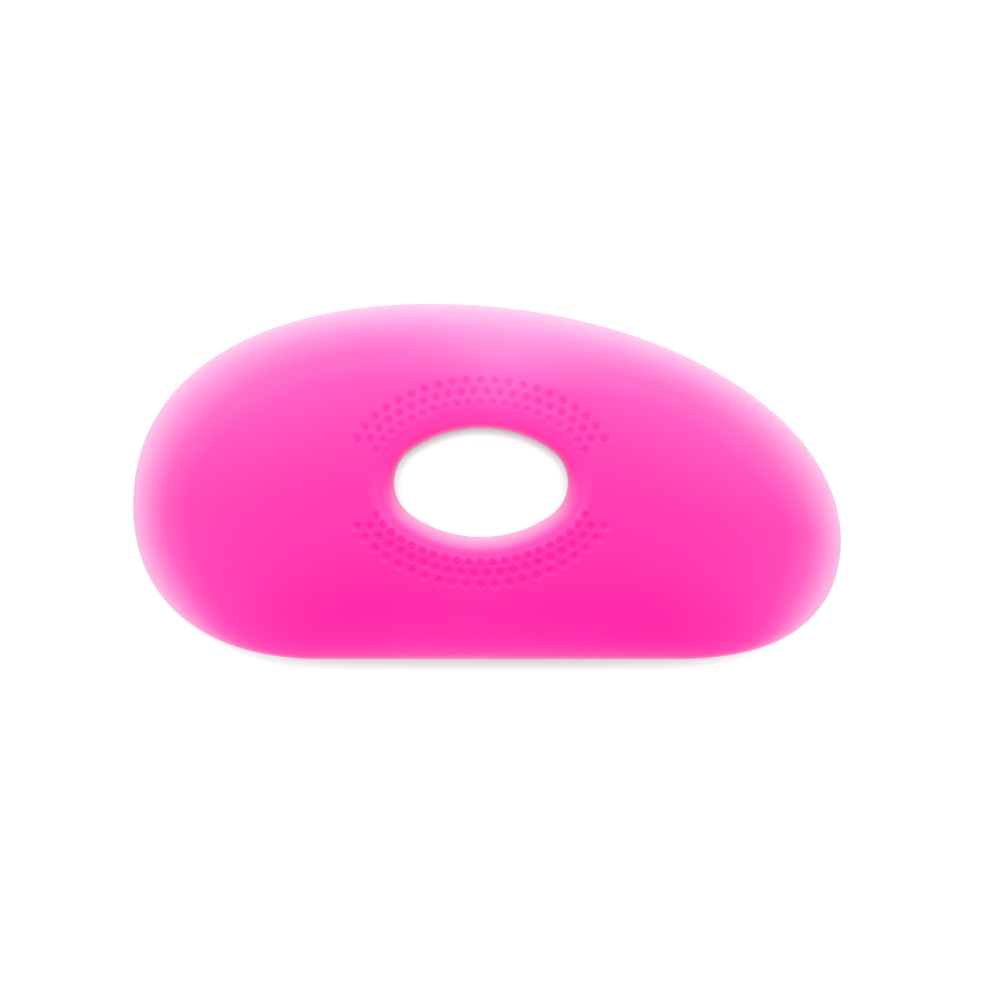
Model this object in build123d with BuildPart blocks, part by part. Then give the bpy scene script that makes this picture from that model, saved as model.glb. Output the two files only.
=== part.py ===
from build123d import *
from math import atan2, cos, degrees, sin, tan, tau
import os

# A soft pottery rib: one moulded piece, thick in the middle and thin at the edge, with an oval finger hole.
# It lies flat. Length runs along X, width along Y and thickness along Z, and the straight edge faces -Y.
# The origin is the middle of the outline, on the surface that the rib lies on. Sizes are in millimetres.

# Overall size
length = 69.85
width = 35.05
thickness = 7.6

# Finger hole: an oval of four arcs, its clear size, the radius of its two ends, and where its middle lies
# from the middle of the outline
hole_length = 17.2
hole_width = 10.8
hole_end_radius = 3.95
hole_x = -0.6
hole_y = -0.1

# The centres of its end arcs and side arcs. The radius of its two long sides makes them meet its ends
# without a corner, at this turn from the length.
end_centre = hole_length / 2 - hole_end_radius
side_centre = (end_centre**2 - (hole_width / 2 - hole_end_radius) ** 2) / (hole_width - 2 * hole_end_radius)
side_radius = hole_width / 2 + side_centre
end_turn = degrees(atan2(side_centre, end_centre))

# The two rims of the hole are rounded, and leave a narrow band of straight wall between them
hole_band = 1.0
rim_radius = (thickness - hole_band) / 2

# The flat land round the hole, as the width of flat that is left outside the rounded rim
land_width = 1.3
land_length_radius = hole_length / 2 + rim_radius + land_width
land_width_radius = hole_width / 2 + rim_radius + land_width

# The outline passes through five anchors, as shares of the length and the width
left_anchor_share = Vector(-0.5, -0.071)
top_anchor_share = Vector(-0.083, 0.5)
right_anchor_share = Vector(0.5, -0.166)
flat_right_share = Vector(0.27, -0.5)
flat_left_share = Vector(-0.235, -0.5)

# How far the curve is pulled along its tangent on each side of an anchor, in the same shares
left_up_share = Vector(0, 0.41)
left_down_share = Vector(0, -0.246)
top_left_share = Vector(-0.211, 0)
top_right_share = Vector(0.331, 0)
right_up_share = Vector(0, 0.348)
right_down_share = Vector(0, -0.177)
flat_right_pull_share = Vector(0.172, 0)
flat_left_pull_share = Vector(-0.176, 0)

# Where the land's oval answers to each anchor, in order, as shares of a turn round it. Even steps on the
# straight side keep the crown smooth from one span to the next.
land_turn_shares = (184 / 360, 94 / 360, -8 / 360, -64 / 360, -120 / 360)

# The crown's profile from the edge to the land. It leaves the edge upright, and the share of the half
# thickness that it climbs there sets how blunt the edge is. It meets the land level, and a larger share of
# the way across there fills the crown out. The levels that it is lofted through lie closer near the edge.
edge_bluntness_share = 0.25
crown_fullness_share = 0.85
crown_levels = 11
level_crowding = 1.4


def spread(share):
    """A point of the outline, from its shares."""
    return Vector(share.X * length, share.Y * width)


def outline_spans():
    """The five curves of the outline, each as four points, clockwise from the left."""
    third = (flat_left_share - flat_right_share) / 3
    spans = [
        (left_anchor_share, left_up_share, top_left_share, top_anchor_share),
        (top_anchor_share, top_right_share, right_up_share, right_anchor_share),
        (right_anchor_share, right_down_share, flat_right_pull_share, flat_right_share),
        (flat_right_share, third, -third, flat_left_share),
        (flat_left_share, flat_left_pull_share, left_down_share, left_anchor_share),
    ]
    return [[spread(p) for p in (start, start + out, end + back, end)] for start, out, back, end in spans]


def land_point(angle):
    return Vector(hole_x + land_length_radius * cos(angle), hole_y + land_width_radius * sin(angle))


def land_tangent(angle):
    return Vector(-land_length_radius * sin(angle), land_width_radius * cos(angle))


def land_spans():
    """The land's oval in five curves that answer to the outline's."""
    spans = []
    for share, following in zip(land_turn_shares, land_turn_shares[1:] + land_turn_shares[:1]):
        start = share * tau
        end = following * tau
        turn = (end - start) - tau * (end > start)
        pull = 4 / 3 * tan(turn / 4)
        spans.append(
            [
                land_point(start),
                land_point(start) + land_tangent(start) * pull,
                land_point(end) - land_tangent(end) * pull,
                land_point(end),
            ]
        )
    return spans


def crown_level(step):
    """How far in and how high a level lies, as shares of the way from the edge to the land.
    Step 0 is the edge and the last step is the land. Both shares follow one cubic curve."""
    t = (step / crown_levels) ** level_crowding
    inward = 3 * (1 - t) * t**2 * (1 - crown_fullness_share) + t**3
    climb = 3 * (1 - t) ** 2 * t * edge_bluntness_share + 3 * (1 - t) * t**2 + t**3
    return inward, climb


with BuildPart() as rib_body:
    # The crowned body, lofted from the lower land out to the edge and back in to the upper land
    for step in range(-crown_levels, crown_levels + 1):
        inward, climb = crown_level(abs(step))
        side = -1 if step < 0 else 1
        with BuildSketch(Plane.XY.offset(thickness / 2 * (1 + side * climb))):
            with BuildLine():
                for outer, inner in zip(outline_spans(), land_spans()):
                    Bezier(*[a + (b - a) * inward for a, b in zip(outer, inner)])
            make_face()
    loft(ruled=True)

    # The finger hole
    with BuildSketch(Plane(origin=(hole_x, hole_y, 0))):
        with BuildLine():
            CenterArc((end_centre, 0), hole_end_radius, 0, end_turn)
            CenterArc((0, -side_centre), side_radius, end_turn, 180 - 2 * end_turn)
            CenterArc((-end_centre, 0), hole_end_radius, 180 - end_turn, end_turn)
            mirror(about=Plane.XZ)
        make_face()
    extrude(amount=thickness, mode=Mode.SUBTRACT)

    # Its rims, rounded
    rims = rib_body.edges().filter_by(GeomType.CIRCLE)
    fillet(rims, radius=rim_radius)

rib_body.part.label = "rib_body"

os.makedirs("parts", exist_ok=True)
export_step(rib_body.part, "parts/rib_body.step")
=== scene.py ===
from math import atan2, copysign, cos, exp, pi, radians, sin

import bmesh
import bpy
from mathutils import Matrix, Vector
from mathutils.kdtree import KDTree


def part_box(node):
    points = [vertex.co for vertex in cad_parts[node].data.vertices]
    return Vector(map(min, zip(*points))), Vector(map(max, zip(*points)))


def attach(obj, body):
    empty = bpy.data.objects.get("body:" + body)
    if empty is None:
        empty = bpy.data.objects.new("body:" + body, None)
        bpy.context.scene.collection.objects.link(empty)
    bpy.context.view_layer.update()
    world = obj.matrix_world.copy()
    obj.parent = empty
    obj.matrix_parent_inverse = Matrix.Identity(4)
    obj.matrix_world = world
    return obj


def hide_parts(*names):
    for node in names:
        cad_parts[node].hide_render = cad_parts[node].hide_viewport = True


# A soft pottery rib that lies on a white table, seen from straight above
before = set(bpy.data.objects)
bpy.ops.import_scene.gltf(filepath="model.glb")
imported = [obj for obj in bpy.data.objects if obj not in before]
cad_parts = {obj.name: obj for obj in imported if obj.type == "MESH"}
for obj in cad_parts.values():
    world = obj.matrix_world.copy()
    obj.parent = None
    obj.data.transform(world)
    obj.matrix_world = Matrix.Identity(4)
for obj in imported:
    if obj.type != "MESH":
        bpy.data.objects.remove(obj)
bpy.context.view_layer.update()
ribLow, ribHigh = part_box("rib_body")
ribSize = ribHigh - ribLow
mm = 0.001
print("solid loaded, millimetres:", [round(v / mm, 2) for v in ribSize])

# The rib's form. Lengths are in millimetres, and the outline is in shares of the length and the width.
ribForm = {
    "holeMiddle": (-0.6, -0.1),
    "holeLength": 17.2,
    "holeWidth": 10.8,
    "holeEndRadius": 3.95,
    "rimRadius": 2.5,  # the wall between the two rounded rims is straight
    "landWidth": 2.1,  # the flat that is left outside the rim
    "outline": [  # start, pull out of it, pull into the end, end: clockwise from the left
        ((-0.5, -0.071), (0, 0.41), (-0.211, 0), (-0.083, 0.5)),
        ((-0.083, 0.5), (0.331, 0), (0, 0.348), (0.5, -0.166)),
        ((0.5, -0.166), (0, -0.177), (0.172, 0), (0.27, -0.5)),
        ((0.27, -0.5), (-0.505 / 3, 0), (0.505 / 3, 0), (-0.235, -0.5)),  # straight, so pulled by thirds
        ((-0.235, -0.5), (-0.176, 0), (0, -0.246), (-0.5, -0.071)),
    ],
    "landTurns": (184, 94, -8, -64, -120, -176),  # degrees, where the land answers to each start, and back
    "edgeBluntness": 0.25,  # pull straight up out of the edge, in shares of half the thickness
    "crownFullness": 0.85,  # pull level into the land, in shares of the way across
    "columns": 640,  # round the rib, 0.1 mm apart at the dimples
    # rows in each part of a face, and how they crowd: above 1 towards the hole, below 1 away from it
    "upperRows": {"rim": (22, 0.85), "land": (20, 1), "crown": (58, 1.6)},
    "lowerRows": {"rim": (8, 1), "land": (4, 1), "crown": (28, 1.15)},
    "mergeWithin": 0.001,  # where the last row meets the first, halfway down the wall
}

# Three staggered rows of plain round dimples above the hole and three below it, on the upper face
ribDimples = {
    "rows": (2.4, 3.5, 4.6),  # millimetres outside the hole's edge
    "perSide": 10,  # from the middle of a row to its end
    "reach": 60,  # degrees that the row turns through on each side of its middle
    "radius": 0.48,
    "depth": 0.24,
}


def blend(a, b, share):
    return a + (b - a) * share


def smoothStep(x):
    x = min(max(x, 0), 1)
    return x * x * (3 - 2 * x)


def bezierPoint(points, t):
    a, b, c, d = points
    return a * (1 - t) ** 3 + b * 3 * (1 - t) ** 2 * t + c * 3 * (1 - t) * t**2 + d * t**3


def outlinePoint(span, t):
    shares = ribForm["outline"][span]
    start, out, back, end = [Vector((x * ribSize.x / mm, y * ribSize.y / mm)) for x, y in shares]
    return bezierPoint((start, start + out, end + back, end), t)


def ovalArcs():
    # the hole's oval is four arcs: how far out the centres of its end arcs lie, and those of its side arcs,
    # and the radius of the side arcs
    endCentre = ribForm["holeLength"] / 2 - ribForm["holeEndRadius"]
    spare = ribForm["holeWidth"] / 2 - ribForm["holeEndRadius"]
    sideCentre = (endCentre**2 - spare**2) / (2 * spare)
    return endCentre, sideCentre, ribForm["holeWidth"] / 2 + sideCentre


def ovalPoint(turn, out):
    # a point at a distance outside the hole's edge, where the edge faces that way
    endCentre, sideCentre, sideRadius = ovalArcs()
    facing = Vector((cos(turn), sin(turn)))
    if abs(facing.y) * endCentre > abs(facing.x) * sideCentre:
        centre, radius = Vector((0, copysign(sideCentre, -facing.y))), sideRadius
    else:
        centre, radius = Vector((copysign(endCentre, facing.x), 0)), ribForm["holeEndRadius"]
    return Vector(ribForm["holeMiddle"]) + centre + facing * (radius + out)


def ribColumns():
    # for each column round the rib: the way the hole's edge faces, the column's points on the land and on the
    # outline, and the way the outline faces
    landLength = ribForm["holeLength"] / 2 + ribForm["rimRadius"] + ribForm["landWidth"]
    landWidth = ribForm["holeWidth"] / 2 + ribForm["rimRadius"] + ribForm["landWidth"]
    turns = ribForm["landTurns"]
    columns = []
    for number in range(ribForm["columns"]):
        turn = turns[0] - 360 * number / ribForm["columns"]
        span = max(i for i in range(len(ribForm["outline"])) if turns[i] >= turn)
        t = (turns[span] - turn) / (turns[span] - turns[span + 1])
        x, y = cos(radians(turn)), sin(radians(turn))
        land = Vector(ribForm["holeMiddle"]) + Vector((x * landLength, y * landWidth))
        columns.append((atan2(y / landWidth, x / landLength), land, outlinePoint(span, t)))
    edges = [column[2] for column in columns]
    runs = [after - before for before, after in zip(edges[-1:] + edges[:-1], edges[1:] + edges[:1])]
    return [(*column, Vector((-run.y, run.x)).normalized()) for column, run in zip(columns, runs)]


def ribRows(face):
    # one face's rows, from the middle of the hole's wall out to the edge, each with its place in its part
    rows = [("wall", 0), ("wall", 1)]
    for part, (steps, crowding) in ribForm[face].items():
        rows += [(part, (i / steps) ** crowding) for i in range(1, steps + 1)]
    return rows


def ribPoint(column, row, side):
    # side is 1 on the upper face and -1 on the lower
    facing, land, edge, out = column
    part, share = row
    half = ribSize.z / mm / 2
    radius = ribForm["rimRadius"]
    if part == "wall":
        flat, height = ovalPoint(facing, 0), share * (half - radius)
    elif part == "rim":
        turn = radians(90 * share)
        flat, height = ovalPoint(facing, radius * (1 - cos(turn))), half - radius * (1 - sin(turn))
    elif part == "land":
        flat, height = blend(ovalPoint(facing, radius), land, share), half
    else:
        inward = bezierPoint((0, 0, 1 - ribForm["crownFullness"], 1), 1 - share)
        climb = bezierPoint((0, ribForm["edgeBluntness"], 1, 1), 1 - share)
        flat, height = blend(edge, land, inward), half * climb
    return Vector((flat.x, flat.y, half + side * height)) * mm


def extrudeRow(piece, columns, row, side):
    # the ring that is selected is extruded, and the new ring goes to its place
    bpy.ops.mesh.extrude_region_move()
    edit = bmesh.from_edit_mesh(piece.data)
    number = edit.verts.layers.int["column"]
    for vert in edit.verts:
        if vert.select:
            vert.co = ribPoint(columns[vert[number]], row, side)
    bmesh.update_edit_mesh(piece.data)


def makeRib(columns):
    bpy.ops.object.select_all(action="DESELECT")
    bpy.ops.mesh.primitive_circle_add(vertices=len(columns), radius=ribForm["holeLength"] / 2 * mm)
    piece = bpy.context.object
    piece.name = piece.data.name = "rib"
    upper, lower = ribRows("upperRows"), ribRows("lowerRows")
    number = piece.data.attributes.new("column", "INT", "POINT")
    for i, vert in enumerate(piece.data.vertices):
        number.data[i].value = i
        vert.co = ribPoint(columns[i], upper[0], 1)
    bpy.ops.object.mode_set(mode="EDIT")
    bpy.ops.mesh.select_all(action="SELECT")
    for row in upper[1:]:
        extrudeRow(piece, columns, row, 1)
    for row in reversed(lower[:-1]):  # back in under the lower face, until the wall closes
        extrudeRow(piece, columns, row, -1)
    bpy.ops.mesh.select_all(action="SELECT")
    bpy.ops.mesh.remove_doubles(threshold=ribForm["mergeWithin"] * mm)
    bpy.ops.mesh.normals_make_consistent(inside=False)
    bpy.ops.object.mode_set(mode="OBJECT")
    bpy.ops.object.shade_smooth()
    print("rib grown:", len(piece.data.vertices), "points")
    return piece


def dimplePlaces():
    # evenly spaced along each row, which bends as the hole's edge does
    endCentre, sideCentre, sideRadius = ovalArcs()
    bend = atan2(endCentre, sideCentre)  # how far a side arc turns on each side of its middle
    perSide = ribDimples["perSide"]
    places = []
    for row, out in enumerate(ribDimples["rows"]):
        side, end = sideRadius + out, ribForm["holeEndRadius"] + out
        step = (bend * side + (radians(ribDimples["reach"]) - bend) * end) / perSide
        odd = row % 2  # an odd row has one dimple less, and is staggered by half a step
        for i in range(2 * perSide + 1 - odd):
            along = (i - perSide + odd / 2) * step
            onSide = min(abs(along), bend * side)
            turn = copysign(onSide / side + (abs(along) - onSide) / end, along)
            places += [ovalPoint(middle + turn, out) for middle in (pi / 2, -pi / 2)]
    return places


def pressDimples(piece):
    # real dimples: the points inside one sink most at its middle, and its edge stays soft, as in a mould
    group = piece.vertex_groups.new(name="dimples")
    places = dimplePlaces()
    tree = KDTree(len(places))
    for i, place in enumerate(places):
        tree.insert((*place, 0), i)
    tree.balance()
    for vert in piece.data.vertices:
        x, y, z = vert.co / mm
        away = tree.find((x, y, 0))[2] / ribDimples["radius"]
        if away < 1 and vert.co.z > ribSize.z / 2:
            group.add([vert.index], smoothStep(1 - away), "REPLACE")
    press = piece.modifiers.new("press", "DISPLACE")
    press.vertex_group = "dimples"
    press.direction = "Z"
    press.mid_level = 0
    press.strength = -ribDimples["depth"] * mm
    bpy.context.view_layer.objects.active = piece
    bpy.ops.object.modifier_apply(modifier="press")
    print("dimples pressed:", len(places))


# How deep the pink looks, from 0 where it is palest to 1 where the rubber is thick. Light soaks in at the
# thin edge, so it is pale there. Painted light widens the pale band at the curved edge, which faces the strip
# lamp, and painted shade keeps it faint at the straight edge, which faces away from it.
ribTint = {
    "reach": 5.1,  # millimetres in from the edge at which most of the pale has gone
    "lean": 4.8,  # painted light: how much longer that is at the curved edge, which faces the strip lamp
    "power": 0.75,  # below 1 it fades fast at first and then slowly
    "straight": 0.16,  # how soon the straight edge gives way to the round ends
    "short": 0.7,  # painted shade: how much shorter the reach is at the straight edge, which faces away from the strip lamp
    "blunt": 0.45,  # painted shade: and how much of the pale is lacking there
    "under": 0.7,  # how much of it fades towards the lower face, where less light comes in
    "rimPale": 1.0,  # painted light: how far the hole's upper rim pales as it turns down, where it faces the curved edge and the strip lamp
}


def noteTint(piece, columns):
    tint = piece.data.attributes.new("tint", "FLOAT", "POINT").data
    number = piece.data.attributes["column"].data
    half = ribSize.z / mm / 2
    wall = half - ribForm["rimRadius"]
    for i, vert in enumerate(piece.data.vertices):
        facing, land, edge, out = columns[number[i].value]
        inward = (vert.co.xy / mm - edge).length
        straight = exp(-(1 + out.y) / ribTint["straight"])  # 1 at the straight edge, which faces -Y
        # painted light: the pale band reaches further in where the outline faces the strip lamp's side
        reach = (ribTint["reach"] + ribTint["lean"] * max(out.y, 0)) * (1 - ribTint["short"] * straight)
        # painted shade: the straight edge keeps less of its pale, as it faces away from the strip lamp
        pale = exp(-((inward / reach) ** ribTint["power"])) * (1 - ribTint["blunt"] * straight)
        deep = 1 - pale * (1 - ribTint["under"] * (1 - smoothStep(vert.co.z / mm / half)))
        # painted light on the hole's upper rim: paler where its surface faces the strip lamp's side
        if inward > (land - edge).length:
            upper = smoothStep((vert.co.z / mm - half + wall) / wall / 2)
            deep *= 1 - ribTint["rimPale"] * upper * (vert.normal.y + vert.normal.xy.length) / 2
        tint[i].value = deep


ribLines = ribColumns()
rib = makeRib(ribLines)
noteTint(rib, ribLines)
pressDimples(rib)
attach(rib, "root")
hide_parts("rib_body")


def hexColor(code):
    # sRGB hex to linear
    parts = [int(code[i : i + 2], 16) / 255 for i in (1, 3, 5)]
    return [v / 12.92 if v <= 0.04045 else ((v + 0.055) / 1.055) ** 2.4 for v in parts] + [1]


def addNode(tree, kind, settings={}, inputs={}):
    # a socket among the inputs is linked, and any other value is set
    node = tree.nodes.new(kind)
    for name, value in settings.items():
        setattr(node, name, value)
    for name, value in inputs.items():
        if isinstance(value, bpy.types.NodeSocket):
            tree.links.new(value, node.inputs[name])
        else:
            node.inputs[name].default_value = value
    return node


def newMaterial(name):
    material = bpy.data.materials.new(name)
    material.use_nodes = True
    material.node_tree.nodes.clear()
    return material, material.node_tree


# Soft polyurethane, cast in a brushed steel mould: clear pink pigment that is deep where the rubber is thick
# and pale where it thins, with painted light and shade in that pale, light that soaks in and blurs,
# and a satin skin with a grain too fine to count
ribRubber = {
    "tints": [  # from the edge to the thick middle
        (0.0, "#FFCEEF"),
        (0.21, "#FFACDC"),
        (0.33, "#FF93D3"),
        (0.51, "#FF60BD"),
        (0.65, "#FF3FB1"),
        (1.0, "#FF0DA2"),
    ],
    "roughness": 0.4,  # satin
    "ior": 1.5,
    "shine": 0.27,  # 0.5 is plain, less keeps the strip lamp's haze down
    "soakShare": 0.6,  # how much of the light goes in
    "soakFar": 2.0,  # how far it spreads, in millimetres
    "soakColors": (1, 0.35, 0.6),  # red goes furthest, as the pigment lets it through
    "grainWidth": 0.3,  # millimetres, three times the real grain's, which is too fine to show
    "grainStretch": 6,  # along the length, as the mould was brushed
    "grainDepth": 0.02,  # millimetres
    "grainStrength": 0.6,
    "grainDetail": 2,
    "grainRoughness": 0.6,
}


def makeRubber():
    material, tree = newMaterial("cast_polyurethane_satin_pink")
    tint = addNode(tree, "ShaderNodeAttribute", {"attribute_name": "tint"})
    ramp = addNode(tree, "ShaderNodeValToRGB", inputs={"Fac": tint.outputs["Fac"]})
    stops = ramp.color_ramp.elements
    stops.remove(stops[1])
    for number, (place, color) in enumerate(ribRubber["tints"]):
        stop = stops.new(place) if number else stops[0]
        stop.position, stop.color = place, hexColor(color)
    where = addNode(tree, "ShaderNodeTexCoord")
    grainPlace = addNode(
        tree,
        "ShaderNodeMapping",
        inputs={"Vector": where.outputs["Object"], "Scale": (1 / ribRubber["grainStretch"], 1, 1)},
    )
    grain = addNode(
        tree,
        "ShaderNodeTexNoise",
        inputs={
            "Vector": grainPlace.outputs["Vector"],
            "Scale": 1 / (ribRubber["grainWidth"] * mm),
            "Detail": ribRubber["grainDetail"],
            "Roughness": ribRubber["grainRoughness"],
        },
    )
    bump = addNode(
        tree,
        "ShaderNodeBump",
        inputs={
            "Strength": ribRubber["grainStrength"],
            "Distance": ribRubber["grainDepth"] * mm,
            "Height": grain.outputs["Fac"],
        },
    )
    shader = addNode(
        tree,
        "ShaderNodeBsdfPrincipled",
        inputs={
            "Base Color": ramp.outputs["Color"],
            "Roughness": ribRubber["roughness"],
            "IOR": ribRubber["ior"],
            "Specular IOR Level": ribRubber["shine"],
            "Subsurface Weight": ribRubber["soakShare"],
            "Subsurface Radius": ribRubber["soakColors"],
            "Subsurface Scale": ribRubber["soakFar"] * mm,
            "Normal": bump.outputs["Normal"],
        },
    )
    addNode(tree, "ShaderNodeOutputMaterial", inputs={"Surface": shader.outputs["BSDF"]})
    return material


rib.data.materials.append(makeRubber())
print("rubber made")


# The table: smooth matt card, which looks white and keeps the rib's shadow, tight and neutral, mostly as a
# painted shadow
table = {
    "size": 2.0,  # metres
    "paper": 0.9,  # how much light it throws back at the rib
    "paperSeen": 0.15,  # and how much of that the eye sees, the rest is its own even white
    "lift": 0.93,  # how bright that white is
    "holeShadow": 1.6,  # millimetres within which the rib shades the card, inside its hole
    "edgeShadow": 3.1,  # and outside its edge, which stands higher
    "shadowChange": (10, 16),  # how far from the hole's middle the one turns into the other, under the rib
    "shadowFrom": (0, 0.8, 0.6),  # the side that the strip lamp stands on
}


def whiteToEye(tree):
    # 1 for what the camera sees, straight or mirrored or through glass, and 0 for what lights the rib
    rays = addNode(tree, "ShaderNodeLightPath")
    seen = rays.outputs["Is Camera Ray"]
    for name in ("Is Glossy Ray", "Is Transmission Ray"):
        either = addNode(tree, "ShaderNodeMath", {"operation": "MAXIMUM"}, {0: seen, 1: rays.outputs[name]})
        seen = either.outputs["Value"]
    return seen


def makeCard():
    material, tree = newMaterial("matt_white_card")
    seen = whiteToEye(tree)
    tone = addNode(
        tree,
        "ShaderNodeMapRange",
        inputs={"Value": seen, "To Min": table["paper"], "To Max": table["paperSeen"]},
    )
    paper = addNode(tree, "ShaderNodeBsdfDiffuse", inputs={"Color": tone.outputs["Result"]})
    lampSide = addNode(tree, "ShaderNodeCombineXYZ", inputs=dict(enumerate(table["shadowFrom"])))
    where = addNode(tree, "ShaderNodeTexCoord")
    holeX, holeY = ribForm["holeMiddle"]
    away = addNode(
        tree,
        "ShaderNodeVectorMath",
        {"operation": "DISTANCE"},
        {0: where.outputs["Object"], 1: (holeX * mm, holeY * mm, 0)},
    )
    reach = addNode(
        tree,
        "ShaderNodeMapRange",
        inputs={
            "Value": away.outputs["Value"],
            "From Min": table["shadowChange"][0] * mm,
            "From Max": table["shadowChange"][1] * mm,
            "To Min": table["holeShadow"] * mm,
            "To Max": table["edgeShadow"] * mm,
        },
    )
    # painted shadow: the card's seen white darkens near the rib, leaning towards the strip lamp's side
    shadow = addNode(
        tree,
        "ShaderNodeAmbientOcclusion",
        inputs={"Distance": reach.outputs["Result"], "Normal": lampSide.outputs["Vector"]},
    )
    white = addNode(tree, "ShaderNodeMath", {"operation": "MULTIPLY"}, {0: seen, 1: shadow.outputs["AO"]})
    lift = addNode(
        tree, "ShaderNodeMath", {"operation": "MULTIPLY"}, {0: white.outputs["Value"], 1: table["lift"]}
    )
    glow = addNode(tree, "ShaderNodeEmission", inputs={"Strength": lift.outputs["Value"]})
    both = addNode(
        tree, "ShaderNodeAddShader", inputs={0: paper.outputs["BSDF"], 1: glow.outputs["Emission"]}
    )
    addNode(tree, "ShaderNodeOutputMaterial", inputs={"Surface": both.outputs["Shader"]})
    return material


bpy.ops.object.select_all(action="DESELECT")
bpy.ops.mesh.primitive_plane_add(size=table["size"], location=(0, 0, 0))
card = bpy.context.object
card.name = "table"
card.data.materials.append(makeCard())
print("table laid")

# Light: a strip lamp above and beyond the curved edge, which hazes what faces it, another low before the
# straight edge, which brightens it and gives no haze, and a white room. Places and sizes are in metres.
lamps = {
    "strip": {"place": (0, 0.045, 0.15), "long": 0.2, "wide": 0.05, "power": 0.18, "hazes": True},
    "fill": {"place": (0, -0.2, 0.06), "long": 0.3, "wide": 0.05, "power": 0.14, "hazes": False},
    "room": 0.55,
}


def makeStrip(name, place, long, wide, power, hazes):
    light = bpy.data.lights.new(name, "AREA")
    light.shape = "RECTANGLE"
    light.size, light.size_y = long, wide
    light.energy = power
    lamp = bpy.data.objects.new(name, light)
    bpy.context.scene.collection.objects.link(lamp)
    lamp.location = place
    lamp.rotation_euler = (-Vector(place)).to_track_quat("-Z", "Y").to_euler()
    lamp.visible_glossy = hazes


for name in ("strip", "fill"):
    makeStrip(name, **lamps[name])

world = bpy.data.worlds.new("white_room")
world.use_nodes = True
bpy.context.scene.world = world
room = world.node_tree
room.nodes.clear()
strength = addNode(
    room, "ShaderNodeMapRange", inputs={"Value": whiteToEye(room), "To Min": lamps["room"], "To Max": 1}
)
sky = addNode(
    room, "ShaderNodeBackground", inputs={"Color": (1, 1, 1, 1), "Strength": strength.outputs["Result"]}
)
addNode(room, "ShaderNodeOutputWorld", inputs={"Surface": sky.outputs["Background"]})
print("lamps lit")

# Camera: straight above. The rib is 708 pixels long in a frame of 1000, and its middle lies at 487, 481.5.
shot = {
    "lens": 105,
    "sensor": 36,
    "frame": 1000,
    "ribPixels": 708,
    "middle": (487, 481.5),
    "clip": (0.01, 10),
}
pixel = ribSize.x / shot["ribPixels"]
camera = bpy.data.objects.new("camera", bpy.data.cameras.new("camera"))
camera.data.lens = shot["lens"]
camera.data.sensor_width = shot["sensor"]
camera.data.clip_start, camera.data.clip_end = shot["clip"]
camera.location = (
    (shot["frame"] / 2 - shot["middle"][0]) * pixel,
    (shot["middle"][1] - shot["frame"] / 2) * pixel,
    ribSize.z / 2 + pixel * shot["frame"] * shot["lens"] / shot["sensor"],
)
bpy.context.scene.collection.objects.link(camera)
bpy.context.scene.camera = camera
bpy.context.scene.view_settings.view_transform = "Standard"
print("camera", [round(v, 4) for v in camera.location])
